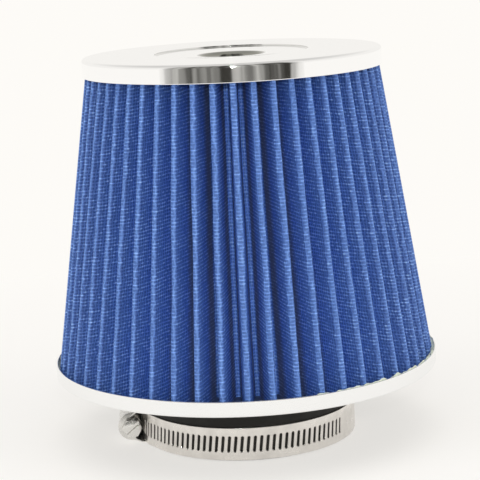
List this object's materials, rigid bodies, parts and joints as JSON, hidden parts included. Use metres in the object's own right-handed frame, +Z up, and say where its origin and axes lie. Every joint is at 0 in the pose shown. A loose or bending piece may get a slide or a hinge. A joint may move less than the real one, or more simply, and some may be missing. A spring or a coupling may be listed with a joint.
{
  "type": "performance air filter",
  "caption": "Conical pleated intake air filter with a dished bright cap, a base ring, a rubber neck and a worm-drive hose clamp.",
  "frame": {"origin": "middle of the mouth of the neck, on the plane that the filter stands on", "axes": "+Z up the filter's axis from the neck to the cap, -Y towards the front of the picture"},
  "size_m": [0.152, 0.152, 0.1535],
  "materials": {
    "bright_steel": "polished plating",
    "dark_compound": "matte cast compound",
    "pale_compound": "matte cast compound",
    "blue_gauze": "coated mesh over dyed gauze",
    "screen_steel": "galvanised",
    "black_rubber": "smooth matte",
    "clamp_steel": "stamped stainless strip",
    "screw_steel": "bright plated"
  },
  "bodies": {
    "filter": {"top_cap": "bright_steel", "cap_potting": "dark_compound", "pleated_media": "blue_gauze", "inner_screen": "screen_steel", "base_ring": "bright_steel", "base_potting": "pale_compound", "neck_moulding": "black_rubber", "clamp_band": "clamp_steel", "clamp_housing": "clamp_steel"},
    "screw": {"clamp_screw": "screw_steel"}
  },
  "joints": [
    {"name": "clamp_screw_turn", "type": "hinge", "parent": "filter", "child": "screw", "pos_m": [-0.04733, -0.00331, 0.00715], "axis": [-0.0698, 0.9976, 0], "range_deg": [-2160, 360]}
  ]
}
